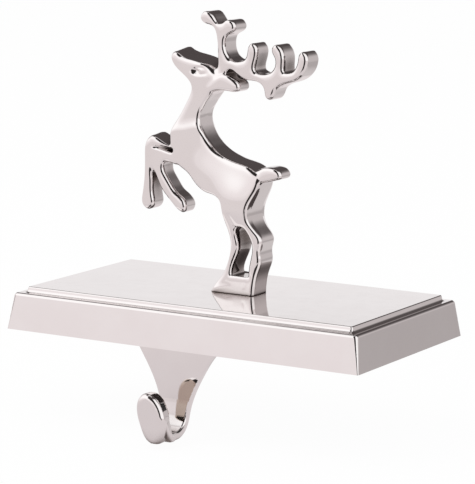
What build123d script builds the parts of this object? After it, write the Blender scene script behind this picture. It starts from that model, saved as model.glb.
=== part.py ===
"""Mantel stocking holder: a plated cast base with a hook, a cast reindeer on top, its screws and a grip pad.

Frame: X along the base's long side, Y to the back, Z up. The origin is the middle of the seating plane, which
is the underside of the grip pad; the hook hangs below it in front. Millimetres.
"""
import os
from math import atan, cos, degrees, hypot, radians, sin, tan

from build123d import *

# Base casting
BASE_LENGTH = 125.0
BASE_DEPTH = 70.0
SKIRT_HEIGHT = 11.5
SKIRT_INSET = 1.5          # draft of the skirt on each side, wider at the foot
FOOT_CORNER = 0.5          # vertical corners, nearly sharp at the foot
RIM_CORNER = 1.3           # and rounder at the rim
RIM_ROUND = 0.6
PANEL_INSET = 4.4          # from the foot outline to the raised panel
PANEL_RISE = 1.75
PANEL_CORNER = 1.0
PANEL_DRAFT = 0.3          # how far its sides lean in
PANEL_ROUND = 0.4
PANEL_HOLLOW = 0.5         # between its sides and the ledge
TOP_WALL = 3.5
SIDE_WALL = 4.6
CAVITY_CORNER = 3.0
RIB_WIDTH = 2.5
RIB_PITCH = 46.0
BOSS_DIAMETER = 9.0
BOSS_HEIGHT = 1.5

# Grip pad
PAD_THICKNESS = 2.0
PAD_PROUD = 0.8            # how far the pad stands below the rim
PAD_MARGIN = 3.4           # width of the rim around the pad recess
PAD_CORNER = 3.0
PAD_CLEARANCE = 0.3
PAD_EDGE = 0.4

# Hook
HOOK_THICKNESS = 2.6
HOOK_THROAT = 9.1          # clear width between shank and leaf
HOOK_DROP = 25.9           # from the rim of the base to the lowest point
HOOK_ROOT = 3.0            # how far the shank runs up into the skirt
HOOK_EDGE = 0.8
BROW_RADIUS = 13.0         # turns the shank upright below the skirt
BROW_DROP = 1.0            # from the rim to the start of that turn
SWEEP_RADIUS = 75.0        # carries it forward again above the bend
SWEEP_ANGLE = 10.5         # degrees
FLARE_WIDTH = 27.2         # where the shank leaves the skirt
FLARE_ANGLE = 53.0         # of its edge there, degrees from level
FLARE_WAIST = 19.2         # width part of the way down
FLARE_WAIST_DROP = 6.2
SHANK_WIDTH = 11.6         # at the end of the flare
SHANK_DROP = 14.5
BEND_WIDTH = 9.4           # round the bend
LEAF_WIDTH = 9.6
LEAF_HEIGHT = 15.0
LEAF_TOP = 10.0            # below the rim of the base
LEAF_THICKNESS = 4.4
LEAF_FRONT_ROUND = 1.7
LEAF_BACK_ROUND = 0.9

# Reindeer: flat castings with broken edges
FIGURE_FRONT = -5.4        # Y of its front face
BODY_THICKNESS = 9.4
ANTLER_THICKNESS = 8.6
EAR_THICKNESS = 7.6
FORELEG_THICKNESS = 7.4
TAIL_THICKNESS = 7.6
ANTLER_SETBACK = 0.4       # antlers and tail lie behind the body's front face
OUTER_SETBACK = 0.15       # and so do the forelegs, each its own amount
INNER_SETBACK = 0.3
EAR_RAISE = 0.3            # the ear stands before it
FIGURE_EDGE = 0.8          # bevel between sides and faces
SIDE_PROUD = 0.12          # the sides stand this far outside the drawn outlines
FACE_POINTS = 6            # outline points along each face of the sides; one long face measures badly
FOOT_EXCESS = 3.0          # the feet are drawn this far below the panel and cut off level

# Screws
SCREW_DIAMETER = 3.0
SCREW_HEAD = 5.6
SCREW_HEAD_HEIGHT = 2.0
SCREW_HEAD_EDGE = 0.9
SCREW_GRIP = 3.8           # engagement in the foot
SCREW_PITCH = 7.0
SCREW_MIDDLE = 2.5         # X of the middle between the two screws
SCREW_CLEARANCE = 0.2
TAP_CLEARANCE = 0.05
TAP_RUNOUT = 0.4
DRIVE_WIDTH = 0.9
DRIVE_LENGTH = 3.2
DRIVE_DEPTH = 1.1

# Derived levels
rim_level = PAD_PROUD
ledge_level = rim_level + SKIRT_HEIGHT
panel_level = ledge_level + PANEL_RISE
panel_inset = PANEL_INSET + PANEL_DRAFT
ceiling_level = panel_level - TOP_WALL
recess_level = PAD_THICKNESS
seat_level = ceiling_level - BOSS_HEIGHT
body_middle = FIGURE_FRONT + BODY_THICKNESS / 2
screw_spots = [(SCREW_MIDDLE + side * SCREW_PITCH / 2, body_middle) for side in (-1, 1)]


def slab(inset, corner, bottom, top):
    """A rounded slab that follows the foot outline of the base at an inset."""
    with BuildPart() as block:
        with BuildSketch(Plane.XY.offset(bottom)):
            RectangleRounded(BASE_LENGTH - 2 * inset, BASE_DEPTH - 2 * inset, corner)
        extrude(amount=top - bottom)
    return block.part


# Hook: a J seen from the side, cut to a flared shank seen from the front
skirt_slope = atan(SKIRT_INSET / SKIRT_HEIGHT)
bend_radius = (HOOK_THROAT + HOOK_THICKNESS) / 2
hook_bottom = rim_level - HOOK_DROP
bend_floor = hook_bottom + HOOK_THICKNESS
bend_level = bend_floor + HOOK_THROAT / 2
sweep_end = bend_level - bend_radius * sin(radians(SWEEP_ANGLE))
sweep_start = sweep_end + SWEEP_RADIUS * sin(radians(SWEEP_ANGLE))
rim_middle = HOOK_THICKNESS / 2 / cos(skirt_slope) - BASE_DEPTH / 2
shank_root = (rim_middle + HOOK_ROOT * tan(skirt_slope), rim_level + HOOK_ROOT)
brow_start = (rim_middle - BROW_DROP * tan(skirt_slope), rim_level - BROW_DROP)
leaf_middle = rim_level - LEAF_TOP - LEAF_HEIGHT / 2
flare_slope = (-cos(radians(FLARE_ANGLE)), -sin(radians(FLARE_ANGLE)))

with BuildPart() as hook:
    with BuildSketch(Plane.YZ):
        with BuildLine():
            root = Line(shank_root, brow_start)
            brow = JernArc(root @ 1, root % 1, BROW_RADIUS, degrees(skirt_slope))
            shank = Line(brow @ 1, ((brow @ 1).X, sweep_start))
            sweep = JernArc(shank @ 1, shank % 1, SWEEP_RADIUS, -SWEEP_ANGLE)
            bend = JernArc(sweep @ 1, sweep % 1, bend_radius, SWEEP_ANGLE - 90)
        trace(line_width=HOOK_THICKNESS)
    extrude(amount=FLARE_WIDTH / 2, both=True)
    with BuildSketch(Plane.XZ):
        with BuildLine():
            top = Line((0, ledge_level), (FLARE_WIDTH / 2, ledge_level))
            side = Line(top @ 1, (FLARE_WIDTH / 2, rim_level))
            flare = Spline(side @ 1, (FLARE_WAIST / 2, rim_level - FLARE_WAIST_DROP),
                           (SHANK_WIDTH / 2, rim_level - SHANK_DROP), (BEND_WIDTH / 2, bend_floor),
                           tangents=[flare_slope, (0, -1)])
            cheek = Line(flare @ 1, (BEND_WIDTH / 2, hook_bottom))
            Line(cheek @ 1, (0, hook_bottom))
            mirror(about=Plane.YZ)
        make_face()
    extrude(amount=BASE_DEPTH, both=True, mode=Mode.INTERSECT)
    with BuildSketch(Plane.YZ):
        with BuildLine():
            rise = JernArc(bend @ 1, bend % 1, bend_radius, -90)
        trace(line_width=HOOK_THICKNESS)
    extrude(amount=BEND_WIDTH / 2, both=True)
    curved_edges = hook.edges().filter_by(GeomType.LINE, reverse=True)
    fillet(curved_edges, HOOK_EDGE)

leaf_back = (rise @ 1).X + HOOK_THICKNESS / 2
with BuildPart() as leaf:
    with BuildSketch(Plane.XZ.offset(-leaf_back)):
        with Locations((0, leaf_middle)):
            Ellipse(LEAF_WIDTH / 2, LEAF_HEIGHT / 2)
    extrude(amount=LEAF_THICKNESS)
    fillet(leaf.faces().sort_by(Axis.Y)[0].edges(), LEAF_FRONT_ROUND)
    fillet(leaf.faces().sort_by(Axis.Y)[-1].edges(), LEAF_BACK_ROUND)

# Base casting: drafted skirt, raised panel, hollow underside with ribs and a boss for the screws
with BuildPart() as base_casting:
    with BuildSketch(Plane.XY.offset(rim_level)):
        RectangleRounded(BASE_LENGTH, BASE_DEPTH, FOOT_CORNER)
    with BuildSketch(Plane.XY.offset(ledge_level)):
        RectangleRounded(BASE_LENGTH - 2 * SKIRT_INSET, BASE_DEPTH - 2 * SKIRT_INSET, RIM_CORNER)
    loft()
    fillet(base_casting.faces().sort_by(Axis.Z)[-1].edges(), RIM_ROUND)
    ledge = base_casting.faces().sort_by(Axis.Z)[-1]
    with BuildSketch(Plane.XY.offset(ledge_level)):
        RectangleRounded(BASE_LENGTH - 2 * PANEL_INSET, BASE_DEPTH - 2 * PANEL_INSET, PANEL_CORNER)
    with BuildSketch(Plane.XY.offset(panel_level)):
        RectangleRounded(BASE_LENGTH - 2 * panel_inset, BASE_DEPTH - 2 * panel_inset, PANEL_CORNER)
    loft()
    panel_foot = base_casting.edges().filter_by_position(Axis.Z, ledge_level, ledge_level) - ledge.edges()
    fillet(panel_foot, PANEL_HOLLOW)
    fillet(base_casting.faces().sort_by(Axis.Z)[-1].edges(), PANEL_ROUND)
    add(slab(SIDE_WALL, CAVITY_CORNER, rim_level, ceiling_level), mode=Mode.SUBTRACT)
    with BuildSketch(Plane.XY.offset(ceiling_level)):
        with GridLocations(RIB_PITCH, 0, 2, 1):
            Rectangle(RIB_WIDTH, BASE_DEPTH - 2 * SIDE_WALL)
    extrude(amount=recess_level - ceiling_level)
    with BuildSketch(Plane.XY.offset(seat_level)):
        with Locations((SCREW_MIDDLE, body_middle)):
            SlotCenterToCenter(SCREW_PITCH, BOSS_DIAMETER)
    extrude(amount=BOSS_HEIGHT)
    add(slab(PAD_MARGIN, PAD_CORNER, rim_level, recess_level), mode=Mode.SUBTRACT)
    with BuildSketch(Plane.XY.offset(seat_level)):
        with Locations(*screw_spots):
            Circle(SCREW_DIAMETER / 2 + SCREW_CLEARANCE)
    extrude(amount=panel_level - seat_level, mode=Mode.SUBTRACT)
    add(hook.part)
    add(leaf.part)
base_casting.part.label = "base_casting"

# Reindeer outlines, seen from the front: X and the height above the panel
TORSO = [
    (-5.9, -FOOT_EXCESS), (-5.6, 0.3), (-4.6, 2.2), (-2.0, 5.3), (0.5, 10.7), (1.3, 15.7), (0.0, 21.5),
    (-1.5, 26.3), (-2.1, 28.9), (-3.8, 30.3), (-7.5, 31.1), (-12.2, 34.1), (-14.8, 36.9), (-18.2, 39.1),
    (-20.4, 43.7), (-21.3, 48.6), (-18.5, 53.7), (-14.9, 59.9), (-13.6, 63.9), (-16.2, 67.3), (-19.6, 70.1),
    (-21.0, 72.9), (-20.7, 75.0), (-19.2, 75.6), (-17.0, 74.6), (-13.0, 73.6), (-9.0, 72.7), (-5.6, 71.3),
    (-4.2, 68.3), (-5.3, 64.1), (-8.6, 59.4), (-10.6, 54.9), (-9.1, 49.7), (-5.0, 45.1), (2.1, 41.7),
    (8.6, 39.9), (11.3, 37.3), (10.9, 33.3), (8.5, 28.3), (8.0, 24.7), (9.8, 21.1), (12.2, 17.5),
    (11.6, 14.1), (11.9, 11.1), (10.7, 7.1), (9.9, 3.3), (9.9, -FOOT_EXCESS)]
LEG_GAP = [
    (1.6, 5.5), (2.0, 8.9), (3.6, 12.6), (4.3, 15.5), (3.7, 18.7), (4.0, 20.9), (5.4, 21.3), (7.6, 19.1),
    (8.9, 15.9), (8.4, 11.3), (7.9, 5.5)]
ANTLER = [
    (-6.4, 66.4), (-4.6, 70.2), (-4.4, 74.2), (-4.8, 79.5), (-6.5, 83.3), (-9.2, 84.0), (-10.8, 85.3),
    (-10.4, 86.9), (-8.8, 87.6), (-6.5, 86.6), (-5.1, 84.7), (-3.8, 83.9), (-2.5, 84.7), (-0.7, 85.3),
    (1.2, 84.5), (1.6, 82.9), (0.4, 81.7), (-1.3, 80.7), (-2.1, 77.9), (-1.1, 74.6), (2.4, 72.5),
    (5.3, 73.7), (6.1, 76.1), (6.5, 77.9), (7.8, 78.6), (9.1, 77.7), (9.5, 75.5), (8.9, 72.9), (8.7, 70.5),
    (10.4, 69.3), (13.4, 69.5), (15.8, 71.9), (15.6, 74.9), (14.6, 76.6), (14.9, 78.1), (16.4, 78.6),
    (18.0, 77.4), (18.9, 74.7), (18.8, 72.1), (19.2, 70.3), (20.8, 70.1), (22.8, 71.6), (23.8, 74.1),
    (24.2, 76.2), (25.5, 77.0), (26.8, 75.9), (27.0, 73.3), (25.9, 70.7), (22.6, 68.0), (18.2, 66.5),
    (16.2, 64.9), (15.2, 62.6), (13.8, 61.7), (12.5, 62.6), (12.3, 64.1), (11.4, 66.0), (8.6, 67.2),
    (5.0, 67.5), (1.8, 69.3), (0.0, 70.2), (-1.6, 68.9), (-3.6, 66.0)]
EAR = [
    (-8.0, 64.2), (-6.0, 66.8), (-3.6, 68.6), (-0.6, 68.3), (2.0, 67.1), (3.6, 65.7), (3.7, 64.2),
    (2.2, 63.5), (-1.0, 63.6), (-4.6, 63.3), (-6.8, 62.4)]
TAIL = [
    (8.4, 36.9), (9.6, 38.9), (13.2, 40.5), (16.4, 40.3), (18.3, 39.2), (18.5, 37.9), (17.0, 37.1),
    (13.0, 36.0), (9.6, 35.6)]
OUTER_FORELEG = [
    (-17.6, 42.3), (-19.0, 42.3), (-23.6, 43.1), (-27.2, 42.1), (-28.2, 38.7), (-27.9, 33.7), (-27.6, 28.7),
    (-27.4, 25.6), (-29.4, 24.1), (-31.4, 25.4), (-31.5, 28.7), (-30.8, 34.2), (-30.7, 40.7), (-30.2, 45.7),
    (-28.2, 48.1), (-24.5, 47.1), (-20.6, 45.3), (-17.6, 44.5)]
INNER_FORELEG = [
    (-17.4, 39.3), (-20.4, 39.3), (-23.6, 39.4), (-23.9, 37.3), (-22.0, 33.9), (-19.2, 30.3), (-16.4, 28.2),
    (-15.5, 25.7), (-16.4, 24.2), (-18.4, 24.8), (-21.0, 27.2), (-24.4, 30.9), (-27.2, 36.3), (-29.5, 40.6),
    (-29.0, 43.1), (-25.0, 43.7), (-20.0, 43.2), (-17.4, 42.7)]


def moved_in(points, inset):
    """The points of an outline that runs clockwise, moved square to it towards the inside."""
    moved = []
    for index, (x, z) in enumerate(points):
        x_before, z_before = points[max(index - 1, 0)]
        x_after, z_after = points[min(index + 1, len(points) - 1)]
        run = hypot(x_after - x_before, z_after - z_before)
        moved.append((x + inset * (z_after - z_before) / run, z - inset * (x_after - x_before) / run))
    return moved


def flat_casting(outline, front, thickness, hollow=False):
    """A casting of one outline with flat sides and bevelled edges; a hollow one is the space of a gap."""
    steps = [0.0]              # distance along the outline, shared by all sections
    for (x, z), (x_next, z_next) in zip(outline, outline[1:]):
        steps.append(steps[-1] + hypot(x_next - x, z_next - z))
    half = thickness / 2
    shoulder = half - FIGURE_EDGE
    face_inset = FIGURE_EDGE - SIDE_PROUD
    profile = [(-half, face_inset), (-shoulder, -SIDE_PROUD), (shoulder, -SIDE_PROUD), (half, face_inset)]
    sections = []
    for depth, inset in profile:
        points = moved_in(outline, -inset if hollow else inset)
        curve = Edge.make_spline(points, parameters=steps)
        joints = points[:-2:FACE_POINTS] + points[-1:]
        edges = [curve.trim(start, end) for start, end in zip(joints, joints[1:])]
        edges.append(Edge.make_line(points[-1], points[0]))
        sections.append(Plane.XZ.offset(-(front + half + depth)) * Face(Wire(edges)))
    with BuildPart() as casting:
        loft(sections, ruled=True, clean=False)
    return casting.part.moved(Location((0, 0, panel_level)))


# Cleaning would join the short faces of the sides again
with BuildPart() as reindeer:
    add(flat_casting(TORSO, FIGURE_FRONT, BODY_THICKNESS), clean=False)
    add(flat_casting(LEG_GAP, FIGURE_FRONT, BODY_THICKNESS, hollow=True), mode=Mode.SUBTRACT, clean=False)
    add(flat_casting(ANTLER, FIGURE_FRONT + ANTLER_SETBACK, ANTLER_THICKNESS), clean=False)
    add(flat_casting(EAR, FIGURE_FRONT - EAR_RAISE, EAR_THICKNESS), clean=False)
    add(flat_casting(TAIL, FIGURE_FRONT + ANTLER_SETBACK, TAIL_THICKNESS), clean=False)
    add(flat_casting(OUTER_FORELEG, FIGURE_FRONT + OUTER_SETBACK, FORELEG_THICKNESS), clean=False)
    add(flat_casting(INNER_FORELEG, FIGURE_FRONT + INNER_SETBACK, FORELEG_THICKNESS), clean=False)
    with BuildSketch(Plane.XY.offset(panel_level)):
        Rectangle(BASE_LENGTH, BASE_DEPTH)
    extrude(amount=-2 * FOOT_EXCESS, mode=Mode.SUBTRACT, clean=False)
    with BuildSketch(Plane.XY.offset(panel_level)):
        with Locations(*screw_spots):
            Circle(SCREW_DIAMETER / 2 + TAP_CLEARANCE)
    extrude(amount=SCREW_GRIP + TAP_RUNOUT, mode=Mode.SUBTRACT, clean=False)
reindeer.part.label = "reindeer"

# Screws: pan heads with a cross recess, put in from below
with BuildPart() as figure_screws:
    with BuildSketch(Plane.XY.offset(seat_level)):
        with Locations(*screw_spots):
            Circle(SCREW_DIAMETER / 2)
    extrude(amount=panel_level + SCREW_GRIP - seat_level)
    with BuildSketch(Plane.XY.offset(seat_level)):
        with Locations(*screw_spots):
            Circle(SCREW_HEAD / 2)
    extrude(amount=-SCREW_HEAD_HEIGHT)
    lowest = figure_screws.faces().group_by(Axis.Z)[0]
    chamfer(lowest.edges(), SCREW_HEAD_EDGE)
    with BuildSketch(Plane.XY.offset(seat_level - SCREW_HEAD_HEIGHT)):
        with Locations(*screw_spots):
            Rectangle(DRIVE_LENGTH, DRIVE_WIDTH)
            Rectangle(DRIVE_WIDTH, DRIVE_LENGTH)
    extrude(amount=DRIVE_DEPTH, mode=Mode.SUBTRACT)
figure_screws.part.label = "figure_screws"

# Grip pad: a soft sheet in the recess, a little proud of the rim
with BuildPart() as grip_pad:
    add(slab(PAD_MARGIN + PAD_CLEARANCE, PAD_CORNER - PAD_CLEARANCE, 0, PAD_THICKNESS))
    chamfer(grip_pad.faces().sort_by(Axis.Z)[0].edges(), PAD_EDGE)
grip_pad.part.label = "grip_pad"

os.makedirs("parts", exist_ok=True)
export_step(base_casting.part, "parts/base_casting.step")
export_step(reindeer.part, "parts/reindeer.step")
export_step(figure_screws.part, "parts/figure_screws.step")
export_step(grip_pad.part, "parts/grip_pad.step")
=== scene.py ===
"""Studio scene of a plated mantel stocking holder: its polished castings, materials, light and camera.

Sizes are in mm, in the CAD's frame, and directions in degrees, unless a comment says otherwise.
"""
from math import cos, radians, sin

import bpy
import numpy as np
from mathutils import Matrix, Vector


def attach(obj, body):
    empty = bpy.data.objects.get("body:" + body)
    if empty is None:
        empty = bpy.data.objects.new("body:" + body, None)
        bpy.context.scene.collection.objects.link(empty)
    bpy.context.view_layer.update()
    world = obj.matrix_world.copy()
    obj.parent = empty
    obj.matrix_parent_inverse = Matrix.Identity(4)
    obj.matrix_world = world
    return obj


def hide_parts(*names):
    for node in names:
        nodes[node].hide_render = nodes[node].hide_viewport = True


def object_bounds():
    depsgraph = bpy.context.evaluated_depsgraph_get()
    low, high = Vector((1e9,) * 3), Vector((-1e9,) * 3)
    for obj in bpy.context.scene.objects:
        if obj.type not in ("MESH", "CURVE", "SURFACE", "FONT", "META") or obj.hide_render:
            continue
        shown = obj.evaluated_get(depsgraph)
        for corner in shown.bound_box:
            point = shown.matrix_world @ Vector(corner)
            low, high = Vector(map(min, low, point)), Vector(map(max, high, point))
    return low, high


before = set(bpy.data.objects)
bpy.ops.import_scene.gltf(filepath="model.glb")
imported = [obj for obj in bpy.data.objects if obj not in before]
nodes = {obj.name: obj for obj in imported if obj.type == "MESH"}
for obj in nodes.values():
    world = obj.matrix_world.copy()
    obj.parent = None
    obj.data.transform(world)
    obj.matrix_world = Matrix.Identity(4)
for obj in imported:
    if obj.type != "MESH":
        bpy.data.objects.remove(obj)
cad_low, cad_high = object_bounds()

MM = 0.001

# Plinth: the CAD's outline, with the fuller roundings that polishing leaves
FOOT_HALF = (62.5, 35.0)
FOOT_LEVEL = 0.8
FOOT_CORNER = 0.5
SKIRT_HEIGHT = 11.5
SKIRT_INSET = 1.5
RIM_CORNER = 1.3
RIM_ROUND = 1.0
PANEL_LEVEL = 14.05
PANEL_RISE = PANEL_LEVEL - FOOT_LEVEL - SKIRT_HEIGHT
PANEL_INSET = 4.4
PANEL_CORNER = 1.0
PANEL_DRAFT = 0.3
PANEL_ROUND = 0.45
PANEL_HOLLOW = 1.0
SMALLEST_CORNER = 0.1
CORNER_STEPS = 8            # points round each corner
ROUND_STEPS = 10            # rings in each rounding

# Which of the CAD's surfaces this outside takes the place of
SKIRT_SKIN = 0.2            # how deep a point may lie and still be on the skirt
LEDGE_SKIN = 0.7            # how far below the ledge a point may lie and still be on top
DOWNWARD = -0.5             # z of a normal, below which a face belongs to the underside
FLUSH_REACH = 0.8           # the shank's flat front lies within this of the foot's front edge
FRONTWARD = -0.9            # y of a normal, below which a face looks to the front
SLACK = 0.01

# Leaf at the hook's tip
LEAF_MIDDLE = -16.7         # height of its centre
LEAF_TOP = -9.2
LEAF_SHIFT = 0.3
LEAF_LEAN = 0.19            # sideways for each mm of height
LEAF_DROP = 1.3             # of its lower end
TOP_DROP = 0.8              # of its upper end
TIP_BACK = -44.6
TIP_FRONT = -46.4
BEND_BACK = -41.5
BEND_SIDE = -19.0
BEND_BOTTOM = -23.0

# Reindeer: mesh and smoothing
VOXEL = 0.32                # mesh size
GRID = 0.5                  # cell of the maps of its faces
MAP_MARGIN = 2.0            # free border of the swell's map
FACE_SEARCH = 3             # cells around a point in which its two faces are looked for
RELAX = 0.5                 # share of the way to its neighbours' middle that a point goes in a pass
FIRST_PASSES = 3
ROUNDING_PASSES = 12
LAST_PASSES = 2
LAST_RELAX = 0.3
CONTACT_ZONE = (0.1, 1.6)   # heights above the panel between which the smoothing sets in
CONTACT_SHARE = 0.04        # of the smoothing, at the panel
EDGE_REACH = 1.3            # depth behind a face that the rounding of its edge reaches
EDGE_ZONE = (0.6 * EDGE_REACH, EDGE_REACH)      # depths between which it fades out
WALL_SHARE = 0.06           # of the rounding, beyond that
SHRINK_REPAIR = 0.06        # what the rounding takes off
FIGURE_EDGE = 0.8           # bevel of the CAD's edges
TOP_CRISPNESS = 0.8         # share of bevel and rounding that the edges of level tops do without
LEVEL_TOPS = (0.75, 0.95)   # upward part of a wall's direction, from sloping to level
LEAST_TILT = 0.2            # a normal that tilts less than this belongs to a face, not to a wall
BEVEL_TILT = (0.25, 0.6)    # upward part of a normal, from face to bevel
JOINTS = [(-6.0, 84.8, 4.5)]    # where limbs grow together: x, z and reach
JOINT_PASSES = 60

# Reindeer: modelling on its faces, in x and z
CROWN = 0.15                # swell of the faces at the middle of the body
CROWN_PASSES = 2500
FACE_TILT = 0.75            # part of a normal to the front or back, above which a point lies on a face
RELIEF_TILT = (0.35, 0.85)  # the same part, between which the modelling sets in
SLOPING_TOPS = [            # muzzle and raised knee, sloping down to the front: line, reach, drop
    ([(-19.2, 88.8), (-8.9, 86.9), (-5.7, 84.6)], 3.0, 1.4),
    ([(-27.4, 61.4), (-24.6, 60.9), (-21.1, 59.6)], 2.5, 1.0),
]
SWELLS = [                  # centre, reach, height
    ((2.5, 42.5), (9.5, 9.0), 2.1),                                       # haunch
    ((-8.0, 51.0), (7.0, 6.0), 0.5),                                      # shoulder
]
RIDGES = [                  # line, width, height at its start and end; grooves have a height below 0
    ([(-20.4, 63.6), (-15.5, 64.2), (-11.0, 65.4)], 1.9, 0.42, 0.42),     # collar
    ([(-28.0, 58.4), (-23.9, 58.1), (-20.8, 57.5)], 0.55, -0.02, -3.2),   # crease of the raised foreleg
    ([(4.4, 35.0), (3.2, 36.6), (1.6, 39.2)], 0.5, -0.5, -0.15),          # slit above the hind legs
    ([(-12.0, 83.2), (-11.2, 83.0)], 0.55, -1.1, -1.1),                   # pupil
    ([(7.2, 19.4), (6.9, 17.6), (6.4, 16.4)], 0.5, -0.12, -0.12),         # line down the foot
    ([(-4.0, 15.3), (0.0, 16.2), (3.4, 16.0)], 0.9, 0.28, 0.0),           # fold along the foot
]
EYE_CENTRE = (-10.5, 83.2)
EYE_HALF = (2.4, 1.05)
EYE_DEPTH = 0.4
EYE_LINE = 0.28             # width of the ring, as a share of the eye's half size

# Materials
RECESS_REACH = 14.0         # size of the recesses that get painted shade, on the base
FIGURE_REACH = 8.0          # and on the reindeer
BASE_SHADE_FREE_LEVEL = -8.0           # height from which the base's recesses lose their painted shade
FIGURE_SHADE_FREE_LEVEL = 200.0        # above the reindeer, so its recesses may get painted shade anywhere
SHADE_FREE_FADE = 8.0            # height over which the painted shade in recesses fades out
PAINTED_SHADE_OPENNESS = (0.1, 0.74)     # open share of a point's surroundings, from full brown painted shade to none
LEAF_BACK = (-44.5, -43.0)      # y from the leaf's back, which gets painted shade, to the hook's bend
LEAF_BACK_FACING = (0.3, 0.8)   # y of a normal, from the leaf's edge to its back
NICKEL = (0.815, 0.775, 0.77, 1.0)
PALE_NICKEL = (0.83, 0.795, 0.79, 1.0)
# brown painted shade, put in recesses, creases and at contacts by ambient occlusion
PAINTED_RECESS_SHADE = (0.10, 0.072, 0.06, 1.0)
# painted shade on the leaf's back, standing in for the darker reflections between it and the shank
LEAF_BACK_SHADE = (0.60, 0.51, 0.44, 1.0)
SCREW_TONES = ((0.52, 0.53, 0.54, 1.0), (0.70, 0.70, 0.68, 1.0))
RUBBER_TONES = ((0.022, 0.022, 0.023, 1.0), (0.045, 0.044, 0.043, 1.0))
NOISE_SPAN = (0.3, 0.7)     # where most values of a noise lie
HAZE_SPAN = (0.3, 0.75)     # the same for the plate's haze
PLATE_ROUGHNESS = (0.035, 0.075)
SCREW_ROUGHNESS = (0.25, 0.42)
RUBBER_ROUGHNESS = (0.72, 0.88)

# Camera, fitted to the edges of the plinth
PHOTO_HEIGHT = 484
YAW = radians(30.04)
PITCH = radians(9.61)
ROLL = radians(0.73)
FOCAL_PIXELS = 2677.45
SENSOR = 36.0
CLIP = (0.05, 50.0)         # m
CAMERA_PLACE = Vector((415.103, -716.244, 169.755)) * MM

# Key lamp, m and W
KEY_SIZE = 0.6
KEY_POWER = 3.0
KEY_PLACE = Vector((-0.45, -0.35, 0.75))
KEY_AIM = Vector((0.0, 0.0, 0.03))

# Floor
FLOOR_LEVEL = -27.0         # a little below the hook
FLOOR_HALF = 6.0            # m
FLOOR_CENTRE = (0.0, 0.0, 0.05)     # point that directions and distances on it are taken from, m
SHADOW_SHARE = 0.03         # of the lit paper in what the camera sees, the rest is white


def grey(value, tint=(1.0, 1.0, 1.0)):
    return (value * tint[0], value * tint[1], value * tint[2], 1.0)


# The studio that the metal mirrors, by azimuth (0 in front, 90 on the right) and elevation. A pair of
# numbers is a soft edge: where it starts and where it ends.
WHITE = grey(1.0)
AMBIENT = grey(0.75)
PAPER = grey(0.92)
HORIZON = grey(0.93, (1.0, 0.95, 0.955))
HORIZON_RISE = (-0.5, 4.0)
LEFT_WALL = grey(1.0, (1.0, 0.955, 0.96))
LEFT_LAMP = grey(1.22)
LEFT_LAMP_FOOT = (3.0, 16.0)
LEFT_LAMP_SIDES = ((-98.0, -84.0), (-20.0, -10.0))
ROOM = grey(0.03, (1.0, 0.85, 0.85))        # the dark room, a strip in front
ROOM_START = (7.0, -16.0)                   # its left edge, at the bottom and at the top
ROOM_WIDENING = (14.0, 26.0)                # elevations between which that edge moves over
ROOM_BLUR = 3.0
ROOM_END = (40.0, 46.0)
RIGHT_LAMP = grey(1.15)
RIGHT_LAMP_END = (96.0, 112.0)
RIGHT_WALL = grey(0.6, (1.0, 0.94, 0.94))
BACK_WALL = grey(0.93, (1.0, 0.985, 0.99))
BACK_WALL_SIDES = ((166.0, 177.0), (-110.0, -95.0))
CEILING = grey(0.085, (1.0, 0.86, 0.86))    # dark cloth, which comes down behind the object
LIT_CEILING = grey(0.3, (1.0, 0.95, 0.95))  # its part over the left lamp
LIT_SIDES = ((-98.0, -84.0), (-60.0, -42.0))
CEILING_FOOT = (56.0, 68.0)
CEILING_BEHIND = (104.0, 120.0)             # from here round the back it comes further down
BEHIND_FOOT_LEFT = (10.5, 17.0)
BEHIND_FOOT_RIGHT = (10.0, 35.0)
BEHIND_RIGHT_SIDES = ((-90.0, 90.0), (150.0, 180.0))
BEHIND_LIFT = 8.0                           # it hangs this much higher straight behind
BEHIND_LIFT_EDGE = (164.0, 178.0)
SKYLIGHT = (72.0, 80.0)                     # opening straight above
# Painted light on the floor, as the metal mirrors it: pale as if lit from the left and darker to the right,
# by distance and azimuth; FLOOR_ROOM_* place a painted dark strip for the room.
FLOOR_NEAR = grey(0.78, (1.0, 0.94, 0.95))
FLOOR_MIDDLE = grey(0.84, (1.0, 0.94, 0.94))
FLOOR_MIDDLE_EDGE = (0.12, 0.25)            # distances on the floor, m
FLOOR_FAR_EDGE = (0.9, 3.0)
FLOOR_RIGHT_NEAR = grey(0.68, (1.0, 0.95, 0.95))
FLOOR_RIGHT_MIDDLE = grey(0.49, (1.0, 0.94, 0.94))
FLOOR_RIGHT_MIDDLE_EDGE = (0.2, 0.34)
FLOOR_RIGHT_FAR_EDGE = (0.5, 0.9)
FLOOR_ROOM_SIDES = ((6.0, 12.0), (42.0, 48.0))
FLOOR_ROOM_EDGE = (0.17, 0.22)


def smoothstep(low, high, value):
    t = np.clip((value - low) / (high - low), 0, 1)
    return t * t * (3 - 2 * t)


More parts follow.
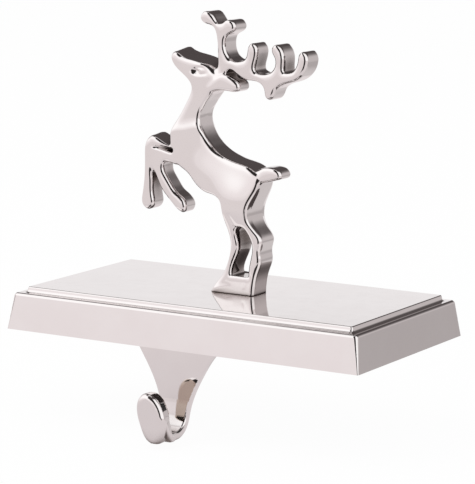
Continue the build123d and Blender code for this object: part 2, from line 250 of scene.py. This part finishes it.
class Graph:
    """Adds shader nodes to a tree, one call per node."""

    def __init__(self, tree):
        self.tree = tree
        tree.nodes.clear()

    def put(self, socket, value):
        if isinstance(value, bpy.types.NodeSocket):
            self.tree.links.new(value, socket)
        else:
            socket.default_value = value

    def node(self, kind, settings=None, **inputs):
        """A node with its settings and inputs: i0 is the first socket, and _ in a name stands for a space."""
        made = self.tree.nodes.new(kind)
        for name, value in (settings or {}).items():
            setattr(made, name, value)
        for name, value in inputs.items():
            numbered = name[0] == "i" and name[1:].isdigit()
            self.put(made.inputs[int(name[1:]) if numbered else name.replace("_", " ")], value)
        return made

    def math(self, operation, a, b=0.0):
        return self.node("ShaderNodeMath", {"operation": operation}, i0=a, i1=b).outputs[0]

    def step(self, value, low, high, start=0.0, end=1.0):
        """Goes smoothly from start to end while the value goes from low to high."""
        ends = dict(From_Min=low, From_Max=high, To_Min=start, To_Max=end)
        kind = {"interpolation_type": "SMOOTHSTEP"}
        return self.node("ShaderNodeMapRange", kind, Value=value, **ends).outputs["Result"]

    def fall(self, value, low, high):
        return self.step(value, low, high, 1.0, 0.0)

    def band(self, value, rise, fall):
        return self.math("MULTIPLY", self.step(value, *rise), self.fall(value, *fall))

    def mix(self, factor, a, b):
        made = self.node("ShaderNodeMix", {"data_type": "RGBA"})
        sockets = [socket for socket in made.inputs if socket.enabled]
        for socket, value in zip(sockets, (factor, a, b)):
            self.put(socket, value)
        return [socket for socket in made.outputs if socket.enabled][0]

    def parts(self, vector):
        return self.node("ShaderNodeSeparateXYZ", i0=vector).outputs

    def mirrored(self, path):
        return self.math("MAXIMUM", path["Is Glossy Ray"], path["Is Transmission Ray"])


def angles(graph, vector):
    """Azimuth and elevation of a direction, in degrees."""
    x, y, z = graph.parts(vector)
    azimuth = graph.math("ARCTAN2", x, graph.math("MULTIPLY", y, -1.0))
    flat = graph.math("SQRT", graph.math("ADD", graph.math("MULTIPLY", x, x), graph.math("MULTIPLY", y, y)))
    elevation = graph.math("ARCTAN2", z, flat)
    return graph.math("DEGREES", azimuth), graph.math("DEGREES", elevation)


def studio_colour(graph, azimuth, elevation):
    """Colour of the studio in a direction: pale walls, a lamp on each side, dark room and dark ceiling."""
    around = graph.math("ABSOLUTE", azimuth)
    left = graph.mix(graph.step(elevation, *HORIZON_RISE), HORIZON, LEFT_WALL)
    left = graph.mix(graph.step(azimuth, *BACK_WALL_SIDES[1]), BACK_WALL, left)
    lamp_width = graph.band(azimuth, *LEFT_LAMP_SIDES)
    lamp = graph.math("MULTIPLY", graph.step(elevation, *LEFT_LAMP_FOOT), lamp_width)
    left = graph.mix(lamp, left, LEFT_LAMP)
    right = graph.mix(graph.step(azimuth, *RIGHT_LAMP_END), RIGHT_LAMP, RIGHT_WALL)
    room_start = graph.step(elevation, *ROOM_WIDENING, *ROOM_START)
    room = graph.step(graph.math("SUBTRACT", azimuth, room_start), -ROOM_BLUR, ROOM_BLUR)
    walls = graph.mix(room, left, ROOM)
    walls = graph.mix(graph.step(azimuth, *ROOM_END), walls, right)
    walls = graph.mix(graph.step(azimuth, *BACK_WALL_SIDES[0]), walls, BACK_WALL)
    above = graph.math("SUBTRACT", elevation, graph.step(around, *BEHIND_LIFT_EDGE, 0.0, BEHIND_LIFT))
    right_side = graph.band(azimuth, *BEHIND_RIGHT_SIDES)
    behind_left = graph.step(above, *BEHIND_FOOT_LEFT)
    behind_right = graph.step(above, *BEHIND_FOOT_RIGHT)
    behind = graph.mix(right_side, behind_left, behind_right)
    hung = graph.mix(graph.step(around, *CEILING_BEHIND), graph.step(elevation, *CEILING_FOOT), behind)
    hung = graph.math("MULTIPLY", hung, graph.fall(elevation, *SKYLIGHT))
    ceiling = graph.mix(graph.band(azimuth, *LIT_SIDES), CEILING, LIT_CEILING)
    return graph.mix(hung, walls, ceiling)


def painted_floor_light(graph, azimuth, far):
    """Painted light on the floor that the metal mirrors: pale as if lit from the left, darker to the right,
    with a painted dark strip for the room at the front right; it runs into the studio's at the horizon.
    """
    pale = graph.mix(graph.step(far, *FLOOR_MIDDLE_EDGE), FLOOR_NEAR, FLOOR_MIDDLE)
    pale = graph.mix(graph.step(far, *FLOOR_FAR_EDGE), pale, HORIZON)
    right = graph.mix(graph.step(far, *FLOOR_RIGHT_MIDDLE_EDGE), FLOOR_RIGHT_NEAR, FLOOR_RIGHT_MIDDLE)
    right = graph.mix(graph.step(far, *FLOOR_RIGHT_FAR_EDGE), right, RIGHT_WALL)
    colour = graph.mix(graph.step(azimuth, *RIGHT_LAMP_END), pale, right)
    room = graph.math("MULTIPLY", graph.band(azimuth, *FLOOR_ROOM_SIDES), graph.step(far, *FLOOR_ROOM_EDGE))
    return graph.mix(room, colour, ROOM)


def build_world():
    """White to the camera, the studio in the metal, and an even soft light on everything else."""
    world = bpy.data.worlds.new("studio")
    bpy.context.scene.world = world
    world.use_nodes = True
    graph = Graph(world.node_tree)
    direction = graph.node("ShaderNodeTexCoord").outputs["Generated"]
    studio = studio_colour(graph, *angles(graph, direction))
    path = graph.node("ShaderNodeLightPath").outputs
    colour = graph.mix(graph.mirrored(path), AMBIENT, studio)
    colour = graph.mix(path["Is Camera Ray"], colour, WHITE)
    background = graph.node("ShaderNodeBackground", Color=colour, Strength=1.0)
    graph.node("ShaderNodeOutputWorld", Surface=background.outputs[0])


def build_floor():
    """White paper that keeps the object's shadow."""
    mesh = bpy.data.meshes.new("floor")
    corners = [(-1, -1), (1, -1), (1, 1), (-1, 1)]
    points = [(x * FLOOR_HALF, y * FLOOR_HALF, FLOOR_LEVEL * MM) for x, y in corners]
    mesh.from_pydata(points, [], [(0, 1, 2, 3)])
    floor = bpy.data.objects.new("floor", mesh)
    bpy.context.scene.collection.objects.link(floor)
    material = bpy.data.materials.new("pale_floor")
    material.use_nodes = True
    graph = Graph(material.node_tree)
    place = graph.node("ShaderNodeNewGeometry").outputs["Position"]
    away = graph.node(
        "ShaderNodeVectorMath", {"operation": "SUBTRACT"}, i0=place, i1=FLOOR_CENTRE
    ).outputs[0]
    far = graph.node("ShaderNodeVectorMath", {"operation": "LENGTH"}, i0=away).outputs["Value"]
    # the metal sees painted light on the floor: emission, pale as if lit from the left, darker to the right
    studio = painted_floor_light(graph, angles(graph, away)[0], far)
    path = graph.node("ShaderNodeLightPath").outputs
    mirrored = graph.mirrored(path)
    paper = graph.node("ShaderNodeBsdfDiffuse", Color=PAPER)
    shown = graph.node("ShaderNodeEmission", Color=graph.mix(mirrored, WHITE, studio), Strength=1.0)
    share = graph.math("MAXIMUM", graph.math("MULTIPLY", path["Is Camera Ray"], 1 - SHADOW_SHARE), mirrored)
    mixed = graph.node("ShaderNodeMixShader", i0=share, i1=paper.outputs[0], i2=shown.outputs[0])
    graph.node("ShaderNodeOutputMaterial", Surface=mixed.outputs[0])
    mesh.materials.append(material)


def build_light():
    data = bpy.data.lights.new("key", "AREA")
    data.shape = "RECTANGLE"
    data.size = KEY_SIZE
    data.size_y = KEY_SIZE
    data.energy = KEY_POWER
    lamp = bpy.data.objects.new("key", data)
    lamp.location = KEY_PLACE
    lamp.rotation_euler = (KEY_AIM - KEY_PLACE).to_track_quat("-Z", "Y").to_euler()
    lamp.visible_glossy = False
    bpy.context.scene.collection.objects.link(lamp)


def build_camera():
    data = bpy.data.cameras.new("camera")
    data.sensor_width = SENSOR
    data.lens = FOCAL_PIXELS * SENSOR / PHOTO_HEIGHT
    data.clip_start, data.clip_end = CLIP
    back = Vector((sin(YAW) * cos(PITCH), -cos(YAW) * cos(PITCH), sin(PITCH)))
    right = Vector((cos(YAW), sin(YAW), 0))
    up = back.cross(right)
    camera_x = right * cos(ROLL) + up * sin(ROLL)
    camera_y = up * cos(ROLL) - right * sin(ROLL)
    camera = bpy.data.objects.new("camera", data)
    turn = Matrix((camera_x, camera_y, back)).transposed()
    camera.matrix_world = Matrix.Translation(CAMERA_PLACE) @ turn.to_4x4()
    bpy.context.scene.collection.objects.link(camera)
    bpy.context.scene.camera = camera


def plated_metal(name, reach, shade_free_level):
    """Bright nickel plate: nearly a mirror, a little wavy, with brown painted shade from ambient occlusion in
    recesses and at contacts below the shade-free level, and painted shade on the leaf's back.
    """
    material = bpy.data.materials.new(name)
    material.use_nodes = True
    graph = Graph(material.node_tree)
    place = graph.node("ShaderNodeTexCoord").outputs["Object"]
    cloud = graph.node("ShaderNodeTexNoise", Vector=place, Scale=90.0, Detail=3.0, Roughness=0.55)
    tone = graph.mix(graph.step(cloud.outputs["Fac"], *NOISE_SPAN), NICKEL, PALE_NICKEL)
    # painted shade: ambient occlusion darkens recesses, creases and contacts to brown below the shade-free
    # level
    recess = graph.node("ShaderNodeAmbientOcclusion", {"samples": 8}, Distance=reach * MM).outputs["AO"]
    _, across, level = graph.parts(place)
    shade_free = graph.step(level, shade_free_level * MM, (shade_free_level + SHADE_FREE_FADE) * MM)
    bright = graph.math("MAXIMUM", graph.step(recess, *PAINTED_SHADE_OPENNESS), shade_free)
    tone = graph.mix(bright, PAINTED_RECESS_SHADE, tone)
    # painted shade on the back of the hook's leaf, where it faces the shank
    behind = graph.fall(across, LEAF_BACK[0] * MM, LEAF_BACK[1] * MM)
    normal = graph.node("ShaderNodeNewGeometry").outputs["Normal"]
    facing = graph.step(graph.parts(normal)["Y"], *LEAF_BACK_FACING)
    tone = graph.mix(graph.math("MULTIPLY", behind, facing), tone, LEAF_BACK_SHADE)
    haze = graph.node("ShaderNodeTexNoise", Vector=place, Scale=260.0, Detail=4.0, Roughness=0.6)
    rough = graph.step(haze.outputs["Fac"], *HAZE_SPAN, *PLATE_ROUGHNESS)
    wave = graph.node("ShaderNodeTexNoise", Vector=place, Scale=150.0, Detail=1.0)
    bump = graph.node("ShaderNodeBump", Height=wave.outputs["Fac"], Strength=0.02, Distance=0.0004)
    metal = graph.node(
        "ShaderNodeBsdfPrincipled", Base_Color=tone, Metallic=1.0, Roughness=rough, Normal=bump.outputs[0]
    )
    graph.node("ShaderNodeOutputMaterial", Surface=metal.outputs[0])
    return material


def screw_metal():
    """Zinc plated steel with a fine grain."""
    material = bpy.data.materials.new("screw_zinc")
    material.use_nodes = True
    graph = Graph(material.node_tree)
    place = graph.node("ShaderNodeTexCoord").outputs["Object"]
    grain = graph.node("ShaderNodeTexNoise", Vector=place, Scale=900.0, Detail=3.0)
    tone = graph.mix(grain.outputs["Fac"], *SCREW_TONES)
    rough = graph.step(grain.outputs["Fac"], *NOISE_SPAN, *SCREW_ROUGHNESS)
    metal = graph.node("ShaderNodeBsdfPrincipled", Base_Color=tone, Metallic=1.0, Roughness=rough)
    graph.node("ShaderNodeOutputMaterial", Surface=metal.outputs[0])
    return material


def pad_rubber():
    """Matt black rubber sheet with a fine pebbled face."""
    material = bpy.data.materials.new("pad_rubber")
    material.use_nodes = True
    graph = Graph(material.node_tree)
    place = graph.node("ShaderNodeTexCoord").outputs["Object"]
    pebble = graph.node("ShaderNodeTexVoronoi", Vector=place, Scale=900.0)
    dust = graph.node("ShaderNodeTexNoise", Vector=place, Scale=60.0, Detail=5.0)
    tone = graph.mix(dust.outputs["Fac"], *RUBBER_TONES)
    bump = graph.node("ShaderNodeBump", Height=pebble.outputs["Distance"], Strength=0.5, Distance=0.0003)
    rough = graph.step(dust.outputs["Fac"], *NOISE_SPAN, *RUBBER_ROUGHNESS)
    rubber = graph.node(
        "ShaderNodeBsdfPrincipled", Base_Color=tone, Roughness=rough, Normal=bump.outputs[0]
    )
    graph.node("ShaderNodeOutputMaterial", Surface=rubber.outputs[0])
    return material


def ridge(x, z, line, width, start_height, end_height):
    """Height of a soft ridge along a polyline."""
    nearest = np.full(len(x), np.inf)
    height = np.zeros(len(x))
    spans = len(line) - 1
    for index in range(spans):
        start = np.array(line[index])
        run = np.array(line[index + 1]) - start
        along = np.clip(((x - start[0]) * run[0] + (z - start[1]) * run[1]) / run.dot(run), 0, 1)
        away = np.hypot(x - start[0] - along * run[0], z - start[1] - along * run[1])
        share = (index + along) / spans
        closer = away < nearest
        height = np.where(closer, start_height + (end_height - start_height) * share, height)
        nearest = np.where(closer, away, nearest)
    return height * np.exp(-((nearest / width) ** 2))


def modelled_relief(x, z):
    """What the sculptor added to the flat faces."""
    relief = np.zeros(len(x))
    for centre, reach, height in SWELLS:
        relief += height * np.exp(-(((x - centre[0]) / reach[0]) ** 2 + ((z - centre[1]) / reach[1]) ** 2))
    for line, width, start_height, end_height in RIDGES:
        relief += ridge(x, z, line, width, start_height, end_height)
    eye = np.hypot((x - EYE_CENTRE[0]) / EYE_HALF[0], (z - EYE_CENTRE[1]) / EYE_HALF[1])
    return relief - EYE_DEPTH * np.exp(-(((eye - 1.0) / EYE_LINE) ** 2))


def crown_map(points, facing):
    """Swell of a face that is held down all round its edge, like a stretched skin under even pressure."""
    x_start, z_start = points[:, 0].min() - MAP_MARGIN, points[:, 2].min() - MAP_MARGIN
    columns = int((points[:, 0].max() + MAP_MARGIN - x_start) / GRID) + 1
    rows = int((points[:, 2].max() + MAP_MARGIN - z_start) / GRID) + 1
    inside = np.zeros((rows, columns), bool)
    face = points[facing]
    inside[((face[:, 2] - z_start) / GRID).astype(int), ((face[:, 0] - x_start) / GRID).astype(int)] = True
    swell = np.zeros((rows, columns))
    for _ in range(CROWN_PASSES):
        spread = np.zeros_like(swell)
        spread[1:-1, 1:-1] = (swell[:-2, 1:-1] + swell[2:, 1:-1] + swell[1:-1, :-2] + swell[1:-1, 2:]) / 4
        swell = np.where(inside, spread + 1.0, 0.0)
    swell *= CROWN / swell.max()
    u = (points[:, 0] - x_start) / GRID - 0.5
    v = (points[:, 2] - z_start) / GRID - 0.5
    column, row = u.astype(int), v.astype(int)
    u -= column
    v -= row
    lower = swell[row, column] * (1 - u) + swell[row, column + 1] * u
    upper = swell[row + 1, column] * (1 - u) + swell[row + 1, column + 1] * u
    return lower * (1 - v) + upper * v


def faces_around(points):
    """Depth of the casting's front and back faces near each point."""
    margin = FACE_SEARCH + 1
    column = ((points[:, 0] - points[:, 0].min()) / GRID).astype(int) + margin
    row = ((points[:, 2] - points[:, 2].min()) / GRID).astype(int) + margin
    front = np.full((row.max() + margin + 1, column.max() + margin + 1), np.inf)
    back = np.full(front.shape, -np.inf)
    np.minimum.at(front, (row, column), points[:, 1])
    np.maximum.at(back, (row, column), points[:, 1])
    for _ in range(FACE_SEARCH):
        for axis in (0, 1):
            for turn in (-1, 1):
                front = np.minimum(front, np.roll(front, turn, axis))
                back = np.maximum(back, np.roll(back, turn, axis))
    return front[row, column], back[row, column]


def vertex_normals(mesh, points):
    mesh.vertices.foreach_set("co", (points * MM).ravel())
    mesh.update()
    normals = np.empty(len(points) * 3)
    mesh.vertex_normals.foreach_get("vector", normals)
    return normals.reshape(-1, 3)


def remeshed(node, name):
    """An even mesh of a CAD solid."""
    rough = bpy.data.objects.new("rough", node.data.copy())
    bpy.context.scene.collection.objects.link(rough)
    remesh = rough.modifiers.new("remesh", "REMESH")
    remesh.mode = "VOXEL"
    remesh.voxel_size = VOXEL * MM
    bpy.context.view_layer.update()
    mesh = bpy.data.meshes.new_from_object(rough.evaluated_get(bpy.context.evaluated_depsgraph_get()))
    bpy.data.objects.remove(rough)
    mesh.name = name
    return mesh


def cast_figure(node):
    """The reindeer as a smooth casting: the CAD solid, rounded, with crowned faces and modelled relief."""
    mesh = remeshed(node, "reindeer_cast")
    count = len(mesh.vertices)
    points = np.empty(count * 3)
    mesh.vertices.foreach_get("co", points)
    points = points.reshape(-1, 3) / MM
    ends = np.empty(len(mesh.edges) * 2, np.int32)
    mesh.edges.foreach_get("vertices", ends)
    first, second = ends[0::2], ends[1::2]
    degree = np.bincount(ends, minlength=count)[:, None]

    def relaxed(values, share):
        total = np.empty_like(values)
        for axis in range(3):
            column = values[:, axis]
            total[:, axis] = np.bincount(first, column[second], count)
            total[:, axis] += np.bincount(second, column[first], count)
        return values + share * (total / degree - values)

    height = points[:, 2] - PANEL_LEVEL
    free = (CONTACT_SHARE + (1 - CONTACT_SHARE) * smoothstep(*CONTACT_ZONE, height))[:, None]
    for _ in range(FIRST_PASSES):
        points = relaxed(points, RELAX * free)
    front, back = faces_around(points)
    below = np.minimum(points[:, 1] - front, back - points[:, 1])
    edge = WALL_SHARE + (1 - WALL_SHARE) * (1 - smoothstep(*EDGE_ZONE, below))
    wall = vertex_normals(mesh, points)
    level = smoothstep(*LEVEL_TOPS, wall[:, 2] / np.maximum(np.hypot(wall[:, 0], wall[:, 2]), LEAST_TILT))
    edge *= 1 - TOP_CRISPNESS * level
    bevel = np.clip(FIGURE_EDGE - below, 0, None) * smoothstep(*BEVEL_TILT, wall[:, 2])
    points[:, 2] += TOP_CRISPNESS * level * bevel
    forward = np.clip((back - points[:, 1]) / (back - front), 0, 1)
    for line, reach, drop in SLOPING_TOPS:
        points[:, 2] -= forward * ridge(points[:, 0], points[:, 2], line, reach, drop, drop)
    for _ in range(ROUNDING_PASSES):
        points = relaxed(points, RELAX * free * edge[:, None])
    normals = vertex_normals(mesh, points)
    points += SHRINK_REPAIR * free * normals
    for side in (-1, 1):
        facing = side * normals[:, 1]
        swell = crown_map(points, facing > FACE_TILT) + modelled_relief(points[:, 0], points[:, 2])
        points[:, 1] += side * swell * smoothstep(*RELIEF_TILT, facing)
    joint = np.zeros(count)
    for x, z, reach in JOINTS:
        joint = np.maximum(joint, 1 - smoothstep(0, reach, np.hypot(points[:, 0] - x, points[:, 2] - z)))
    for _ in range(JOINT_PASSES):
        points = relaxed(points, RELAX * joint[:, None])
    for _ in range(LAST_PASSES):
        points = relaxed(points, LAST_RELAX * free)
    points[:, 2] = np.clip(points[:, 2], PANEL_LEVEL, cad_high[2] / MM)
    mesh.vertices.foreach_set("co", (points * MM).ravel())
    mesh.polygons.foreach_set("use_smooth", np.ones(len(mesh.polygons), bool))
    mesh.update()
    figure = bpy.data.objects.new("reindeer_cast", mesh)
    bpy.context.scene.collection.objects.link(figure)
    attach(figure, "root")
    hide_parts("reindeer")
    return figure


def plinth_profile():
    """Rings of the plinth's outside, from foot to panel: inset from the foot, height, corner and slope."""
    skirt = np.arctan2(SKIRT_INSET, SKIRT_HEIGHT)
    wall = np.arctan2(PANEL_DRAFT, PANEL_RISE)
    ledge = FOOT_LEVEL + SKIRT_HEIGHT
    rim_level = ledge - RIM_ROUND
    rim_reach = rim_level + RIM_ROUND * np.sin(skirt) - FOOT_LEVEL
    rim_inset = RIM_ROUND * np.cos(skirt) + np.tan(skirt) * rim_reach
    hollow_inset = PANEL_INSET + PANEL_HOLLOW * (np.tan(wall) * (1 - np.sin(wall)) - np.cos(wall))
    top_level = PANEL_LEVEL - PANEL_ROUND
    top_reach = top_level + PANEL_ROUND * np.sin(wall) - ledge
    top_inset = PANEL_INSET + PANEL_ROUND * np.cos(wall) + np.tan(wall) * top_reach
    rings = [(0.0, FOOT_LEVEL, FOOT_CORNER, skirt)]
    for slope in np.linspace(skirt, np.pi / 2, ROUND_STEPS):
        inset = rim_inset - RIM_ROUND * np.cos(slope)
        height = rim_level + RIM_ROUND * np.sin(slope)
        rings.append((inset, height, RIM_CORNER + SKIRT_INSET - inset, slope))
    for slope in np.linspace(np.pi / 2, wall, ROUND_STEPS):
        inset = hollow_inset + PANEL_HOLLOW * np.cos(slope)
        height = ledge + PANEL_HOLLOW * (1 - np.sin(slope))
        rings.append((inset, height, PANEL_CORNER + PANEL_INSET - inset, slope))
    for slope in np.linspace(wall, np.pi / 2, ROUND_STEPS):
        inset = top_inset - PANEL_ROUND * np.cos(slope)
        height = top_level + PANEL_ROUND * np.sin(slope)
        rings.append((inset, height, PANEL_CORNER + PANEL_INSET - inset, slope))
    return rings


def plinth_shell():
    """Points, normals and faces of the plinth's outside, ring by ring."""
    points, normals = [], []
    for inset, height, corner, slope in plinth_profile():
        corner = max(corner, SMALLEST_CORNER)
        for quarter, (side_x, side_y) in enumerate(((1, 1), (-1, 1), (-1, -1), (1, -1))):
            for turn in np.linspace(quarter, quarter + 1, CORNER_STEPS) * np.pi / 2:
                x = side_x * (FOOT_HALF[0] - inset - corner) + corner * np.cos(turn)
                y = side_y * (FOOT_HALF[1] - inset - corner) + corner * np.sin(turn)
                points.append((x, y, height))
                normals.append((np.cos(turn) * np.cos(slope), np.sin(turn) * np.cos(slope), np.sin(slope)))
    count = 4 * CORNER_STEPS
    faces = []
    for start in range(0, len(points) - count, count):
        for index in range(count):
            after = (index + 1) % count
            faces.append((start + index, start + after, start + count + after, start + count + index))
    faces.append(tuple(range(len(points) - count, len(points))))
    return np.array(points), np.array(normals), faces


def lean_tip(points, normals, corners):
    """Lean the hook's leaf a little to one side and let its lower end run into the bend."""
    tip = smoothstep(TIP_BACK, TIP_FRONT, points[:, 1])
    points[:, 0] -= tip * (LEAF_SHIFT + LEAF_LEAN * (points[:, 2] - LEAF_MIDDLE))
    normals[:, :, 2] += LEAF_LEAN * tip[corners] * normals[:, :, 0]
    normals /= np.linalg.norm(normals, axis=2, keepdims=True)
    under = smoothstep(BEND_BACK, TIP_BACK, points[:, 1]) * smoothstep(BEND_SIDE, BEND_BOTTOM, points[:, 2])
    top = tip * smoothstep(LEAF_MIDDLE, LEAF_TOP, points[:, 2])
    points[:, 2] = np.maximum(points[:, 2] - LEAF_DROP * under - TOP_DROP * top, cad_low[2] / MM)


def cast_base(node):
    """The base with the polished plinth outside; hook and hollow underside come from the CAD."""
    source = node.data
    points = np.empty(len(source.vertices) * 3)
    source.vertices.foreach_get("co", points)
    points = points.reshape(-1, 3) / MM
    corners = np.empty(len(source.loops), np.int32)
    source.loops.foreach_get("vertex_index", corners)
    corners = corners.reshape(-1, 3)
    normals = np.empty(len(source.loops) * 3)
    source.corner_normals.foreach_get("vector", normals)
    normals = normals.reshape(-1, 3, 3)
    flush = (abs(points[:, 1] + FOOT_HALF[1]) < FLUSH_REACH) & (points[:, 2] < FOOT_LEVEL + SLACK)
    upright = flush[corners].all(1) & (normals[:, :, 1].mean(1) < FRONTWARD)
    normals[upright] = (0.0, -1.0, 0.0)
    lean_tip(points, normals, corners)
    inset = np.minimum(FOOT_HALF[0] - abs(points[:, 0]), FOOT_HALF[1] - abs(points[:, 1]))
    height = points[:, 2] - FOOT_LEVEL
    skirt = inset < SKIRT_SKIN + height * SKIRT_INSET / SKIRT_HEIGHT
    skin = (skirt | (height > SKIRT_HEIGHT - LEDGE_SKIN)) & (height > -SLACK)
    outside = skin[corners].all(1) & (normals[:, :, 2].mean(1) > DOWNWARD)
    kept = corners[~outside]
    used, renumbered = np.unique(kept, return_inverse=True)
    shell_points, shell_normals, shell_faces = plinth_shell()
    faces = [tuple(int(corner) for corner in face) for face in renumbered.reshape(-1, 3)]
    faces += [tuple(corner + len(used) for corner in face) for face in shell_faces]
    mesh = bpy.data.meshes.new("base_cast")
    mesh.from_pydata((np.concatenate([points[used], shell_points]) * MM).tolist(), [], faces)
    mesh.polygons.foreach_set("use_smooth", np.ones(len(faces), bool))
    shell_corners = np.concatenate([shell_normals[list(face)] for face in shell_faces])
    corner_normals = np.concatenate([normals[~outside].reshape(-1, 3), shell_corners])
    mesh.normals_split_custom_set(corner_normals.tolist())
    mesh.update()
    base = bpy.data.objects.new("base_cast", mesh)
    bpy.context.scene.collection.objects.link(base)
    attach(base, "root")
    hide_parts("base_casting")
    return base


def dress(piece, material):
    piece.data.materials.clear()
    piece.data.materials.append(material)


build_world()
build_floor()
build_light()
build_camera()
dress(cast_base(nodes["base_casting"]), plated_metal("bright_plate", RECESS_REACH, BASE_SHADE_FREE_LEVEL))
dress(cast_figure(nodes["reindeer"]), plated_metal("bright_plate_figure", FIGURE_REACH, FIGURE_SHADE_FREE_LEVEL))
dress(nodes["figure_screws"], screw_metal())
dress(nodes["grip_pad"], pad_rubber())
bpy.context.scene.view_settings.view_transform = "Standard"
bpy.context.view_layer.update()
